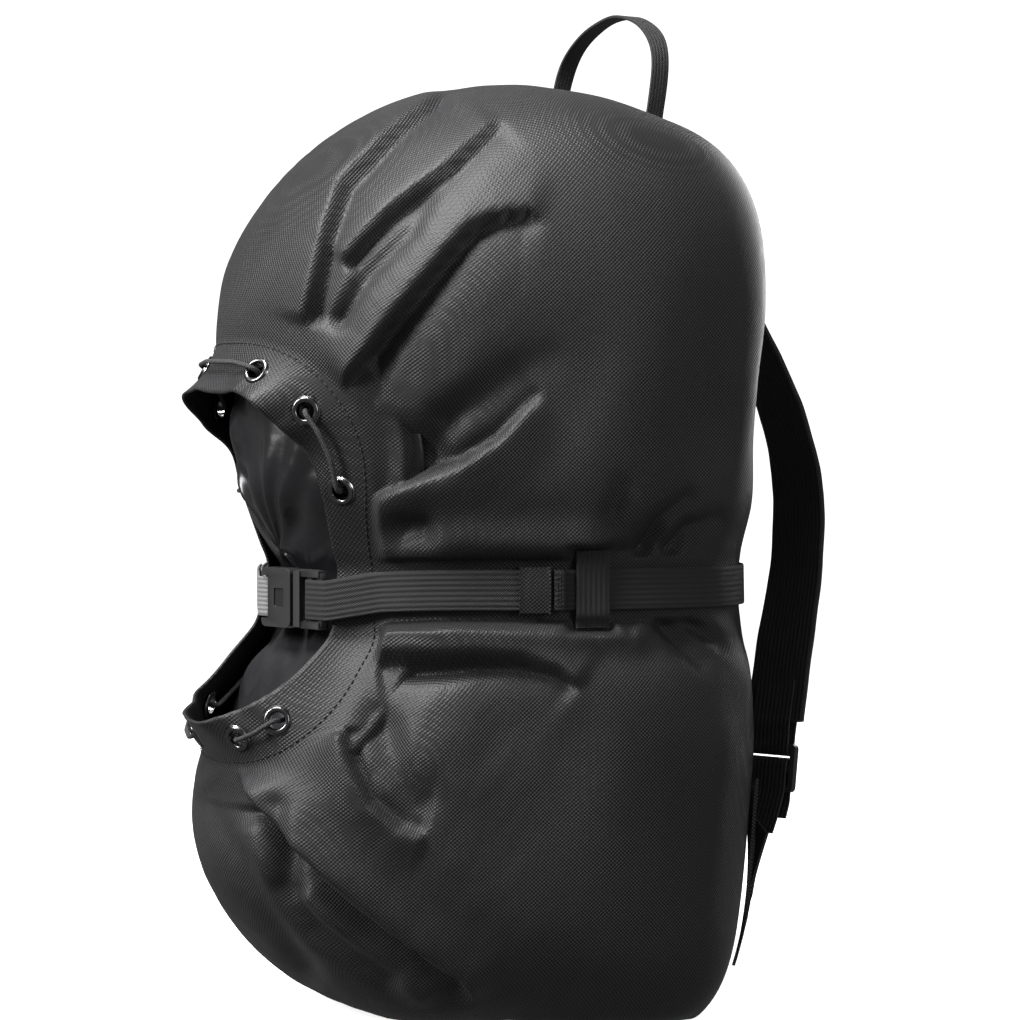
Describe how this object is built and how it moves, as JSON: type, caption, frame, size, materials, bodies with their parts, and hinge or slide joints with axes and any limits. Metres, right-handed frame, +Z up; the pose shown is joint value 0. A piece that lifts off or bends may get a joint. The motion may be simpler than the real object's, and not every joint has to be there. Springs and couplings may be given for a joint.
{
  "type": "compression sack",
  "caption": "Stuffed fabric sack worn as a backpack, with a laced mouth in its front and a buckled webbing strap squeezing its waist.",
  "frame": {"origin": "centre of the flat base that the stuffed sack stands on", "axes": "+Z up, +Y towards the wearer's back (shoulder straps), -Y the front with the mouth, +X the side with the strap's tail"},
  "size_m": [0.2764, 0.3159, 0.5158],
  "materials": {
    "sack_cloth": "woven nylon, satin",
    "lining_cloth": "coated thin cloth, glossy",
    "webbing_black": "ribbed webbing, matte",
    "webbing_grey": "ribbed webbing, matte",
    "pad_cloth": "padded mesh cloth, matte",
    "foam": "closed-cell foam, matte",
    "buckle_plastic": "satin",
    "eyelet_metal": "black nickel, gloss",
    "cord_black": "braided, matte",
    "spring_steel": "bright"
  },
  "bodies": {
    "sack": {"back_foam": "foam", "back_pad_cover": "pad_cloth", "buckle_male": "buckle_plastic", "compression_webbing": "webbing_black", "drawcord": "cord_black", "eyelet_01": "eyelet_metal", "eyelet_02": "eyelet_metal", "eyelet_03": "eyelet_metal", "eyelet_04": "eyelet_metal", "eyelet_05": "eyelet_metal", "eyelet_06": "eyelet_metal", "eyelet_07": "eyelet_metal", "eyelet_08": "eyelet_metal", "eyelet_09": "eyelet_metal", "eyelet_10": "eyelet_metal", "lining_collar": "lining_cloth", "lower_webbing_left": "webbing_black", "lower_webbing_right": "webbing_black", "sack_body": "sack_cloth", "shoulder_strap_left": "webbing_black", "shoulder_strap_right": "webbing_black", "side_keeper_left": "webbing_black", "side_keeper_right": "webbing_black", "strap_tab_left": "webbing_black", "strap_tab_right": "webbing_black", "strap_wing_left": "sack_cloth", "strap_wing_right": "sack_cloth"},
    "buckle_female_half": {"buckle_female": "buckle_plastic", "buckle_short_webbing": "webbing_grey"},
    "prong_upper": {"prong_upper": "buckle_plastic"},
    "prong_lower": {"prong_lower": "buckle_plastic"},
    "tail_keeper": {"tail_keeper": "sack_cloth"},
    "cord_lock": {"cord_lock_barrel": "buckle_plastic"},
    "cord_lock_button": {"cord_lock_button": "buckle_plastic", "cord_lock_spring": "spring_steel"},
    "ladder_lock_right": {"ladder_lock_right": "buckle_plastic"},
    "ladder_lock_left": {"ladder_lock_left": "buckle_plastic"},
    "grab_handle": {"grab_handle": "webbing_black"}
  },
  "joints": [
    {"name": "buckle_release", "type": "slide", "parent": "sack", "child": "buckle_female_half", "axis": [-0.9848, -0.1737, 0], "range_m": [0, 0.022], "deforming": ["buckle_short_webbing", "prong_upper", "prong_lower"]},
    {"name": "prong_upper_squeeze", "type": "hinge", "parent": "sack", "child": "prong_upper", "pos_m": [0.02053, -0.11477, 0.22407], "axis": [0.1737, -0.9848, 0], "range_deg": [0, 9], "stiffness_Nm_per_rad": 0.4},
    {"name": "prong_lower_squeeze", "type": "hinge", "parent": "sack", "child": "prong_lower", "pos_m": [0.02053, -0.11477, 0.20507], "axis": [0.1737, -0.9848, 0], "range_deg": [-9, 0], "stiffness_Nm_per_rad": 0.4},
    {"name": "tail_keeper_slide", "type": "hinge", "parent": "sack", "child": "tail_keeper", "pos_m": [-0.05142, 0.04768, 0.221], "axis": [0, 0, 1], "range_deg": [-12, 0]},
    {"name": "cord_lock_slide", "type": "slide", "parent": "sack", "child": "cord_lock", "axis": [-0.5298, 0.8481, 0], "range_m": [-0.003, 0.008]},
    {"name": "cord_lock_press", "type": "slide", "parent": "cord_lock", "child": "cord_lock_button", "axis": [0.1421, 0.0887, -0.9859], "range_m": [0, 0.003], "stiffness_N_per_m": 600, "deforming": ["cord_lock_spring"]},
    {"name": "ladder_lock_right_tilt", "type": "hinge", "parent": "sack", "child": "ladder_lock_right", "pos_m": [0.0956, 0.11821, 0.13612], "axis": [-0.9507, -0.3102, 0], "range_deg": [-30, 18], "deforming": ["strap_tab_right", "lower_webbing_right"]},
    {"name": "ladder_lock_left_tilt", "type": "hinge", "parent": "sack", "child": "ladder_lock_left", "pos_m": [-0.0956, 0.11821, 0.13612], "axis": [-0.9507, 0.3102, 0], "range_deg": [-30, 18], "deforming": ["strap_tab_left", "lower_webbing_left"]},
    {"name": "grab_handle_fold", "type": "hinge", "parent": "sack", "child": "grab_handle", "pos_m": [0, 0.072, 0.45723], "axis": [1, 0, 0], "range_deg": [-50, 25], "stiffness_Nm_per_rad": 0.05}
  ],
  "couplings": [
    {"joint": "prong_lower_squeeze", "follows": "prong_upper_squeeze", "ratio": -1}
  ]
}
